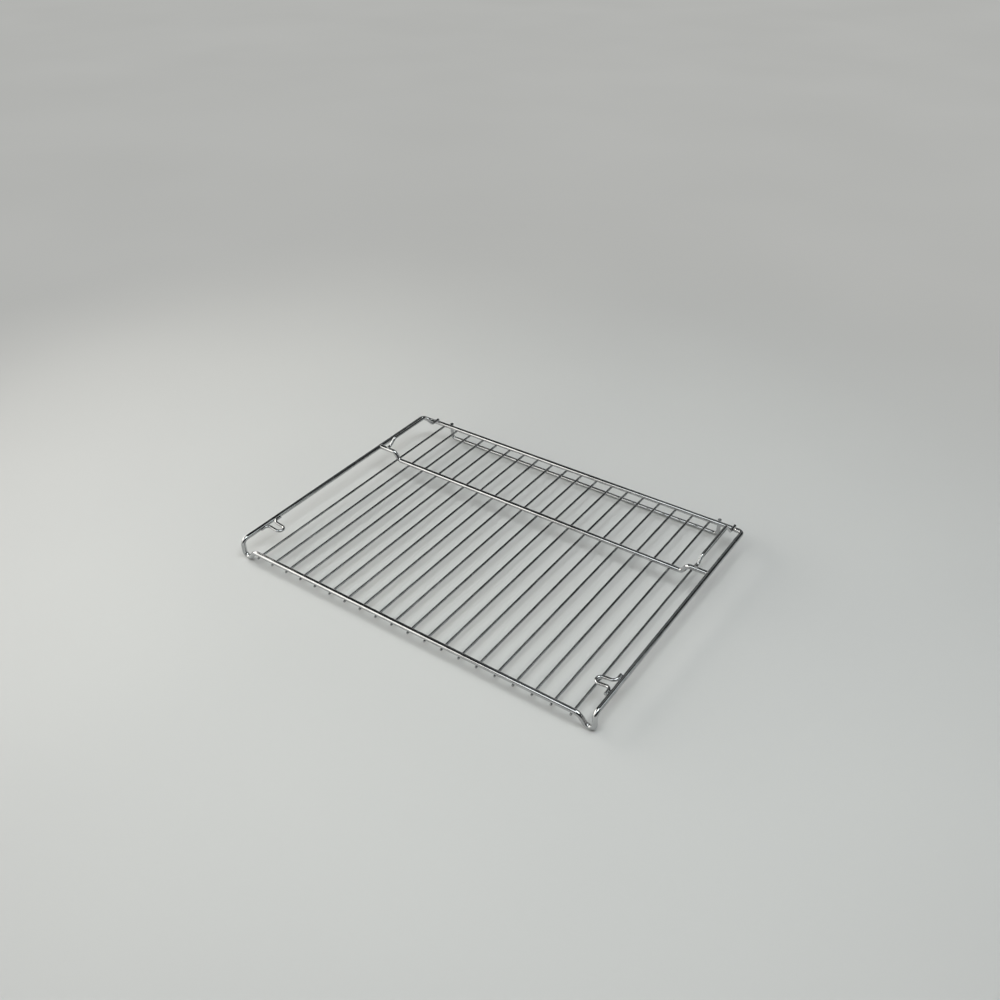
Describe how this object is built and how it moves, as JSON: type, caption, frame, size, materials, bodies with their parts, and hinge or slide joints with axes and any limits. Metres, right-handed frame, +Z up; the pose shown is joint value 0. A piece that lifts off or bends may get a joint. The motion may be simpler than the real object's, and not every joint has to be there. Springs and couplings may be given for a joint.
{
  "type": "oven shelf rack",
  "caption": "Welded chrome wire oven shelf with a grid of thin wires, a cranked cross rail, dipped front corners, side stop loops, raised rear side guides and a rear bar.",
  "frame": {"origin": "centre of the rack's outline, at the height of the rear bar's underside", "axes": "+X across the rack along the front rail, +Y from the front rail to the rear rail, +Z up, square to the level rails. On a flat table the two front feet are about 8 mm short of the rear bar, so the rack leans about 1.3 degrees forward"},
  "size_m": [0.4654, 0.3478, 0.0438],
  "materials": {
    "heavy_wire": "bright chrome plating on drawn steel wire",
    "light_wire": "bright chrome plating on drawn steel wire",
    "grid_wire": "bright chrome plating on thin drawn steel wire"
  },
  "bodies": {
    "root": {"frame_wire": "heavy_wire", "cross_rail": "heavy_wire", "side_guide_right": "light_wire", "side_guide_left": "light_wire", "stop_loop_right": "light_wire", "stop_loop_left": "light_wire", "rear_bar": "light_wire", "grid_wire_01": "grid_wire", "grid_wire_02": "grid_wire", "grid_wire_03": "grid_wire", "grid_wire_04": "grid_wire", "grid_wire_05": "grid_wire", "grid_wire_06": "grid_wire", "grid_wire_07": "grid_wire", "grid_wire_08": "grid_wire", "grid_wire_09": "grid_wire", "grid_wire_10": "grid_wire", "grid_wire_11": "grid_wire", "grid_wire_12": "grid_wire", "grid_wire_13": "grid_wire", "grid_wire_14": "grid_wire", "grid_wire_15": "grid_wire", "grid_wire_16": "grid_wire", "grid_wire_17": "grid_wire", "grid_wire_18": "grid_wire", "grid_wire_19": "grid_wire", "grid_wire_20": "grid_wire"}
  },
  "joints": []
}
